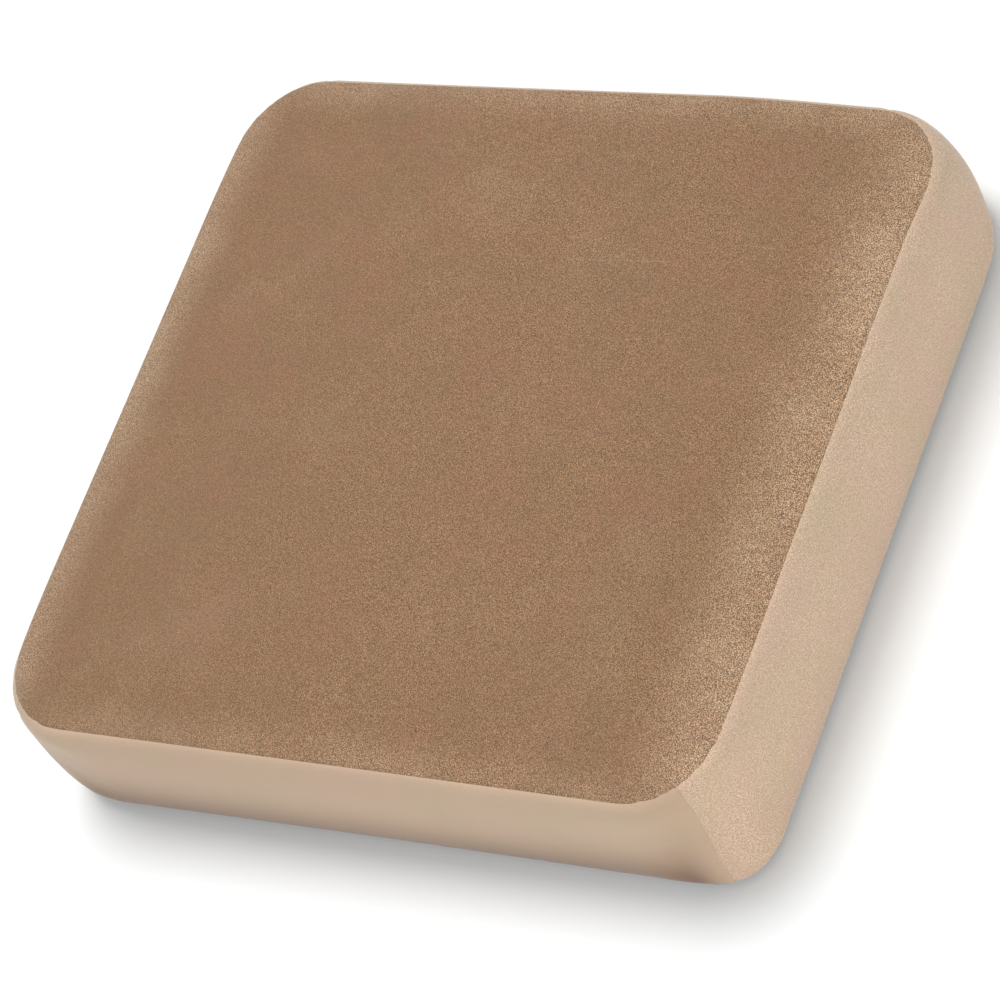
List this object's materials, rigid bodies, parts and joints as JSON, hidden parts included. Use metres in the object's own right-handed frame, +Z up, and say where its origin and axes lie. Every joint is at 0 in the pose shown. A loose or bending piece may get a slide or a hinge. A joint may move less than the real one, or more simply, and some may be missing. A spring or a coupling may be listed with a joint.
{
  "type": "kneeling pad",
  "caption": "Thick, soft-edged foam kneeling pad in a removable velvet cover with a zip along its back; it lies on the floor to cushion the knees.",
  "frame": {"origin": "the middle of the pad's underside, on the floor", "axes": "+X to the pad's right, along its longer side; +Y to its back, where the zip is; +Z up, out of the face that is knelt on"},
  "size_m": [0.43, 0.4045, 0.088],
  "materials": {
    "velvet_top": "matte",
    "velvet_band": "matte",
    "underside_cloth": "matte",
    "sewing_thread": "satin",
    "zip_tape": "matte",
    "zip_coil": "satin",
    "zip_metal": "satin",
    "liner_knit": "matte",
    "liner_thread": "satin",
    "slow_foam": "matte",
    "firm_foam": "matte"
  },
  "bodies": {
    "pad": {"memory_foam_layer": "slow_foam", "support_foam_layer": "firm_foam", "liner_upper": "liner_knit", "liner_base": "liner_knit", "liner_seam_thread": "liner_thread", "top_panel": "velvet_top", "front_band": "velvet_band", "right_band": "velvet_band", "left_band": "velvet_band", "zip_strip_upper": "velvet_band", "zip_strip_lower": "velvet_band", "bottom_panel": "underside_cloth", "top_seam_thread": "sewing_thread", "bottom_seam_thread": "sewing_thread", "front_corner_seam_threads": "sewing_thread", "zip_strip_seam_threads": "sewing_thread", "zip_topstitch_upper": "sewing_thread", "zip_topstitch_lower": "sewing_thread", "zip_end_tab_left": "velvet_band", "zip_end_tab_right": "velvet_band", "zip_tape_upper": "zip_tape", "zip_tape_lower": "zip_tape", "zip_coil_upper": "zip_coil", "zip_coil_lower": "zip_coil", "zip_top_stops": "zip_metal", "zip_bottom_stop": "zip_metal"},
    "slider": {"zip_slider": "zip_metal"},
    "pull": {"zip_pull": "zip_metal"}
  },
  "joints": [
    {"name": "zip_slide", "type": "slide", "parent": "pad", "child": "slider", "axis": [-1, 0, 0], "range_m": [0, 0.3016]},
    {"name": "pull_hinge", "type": "hinge", "parent": "slider", "child": "pull", "pos_m": [0.1508, 0.20265, 0.044], "axis": [0, 0, -1], "range_deg": [0, 180]}
  ]
}
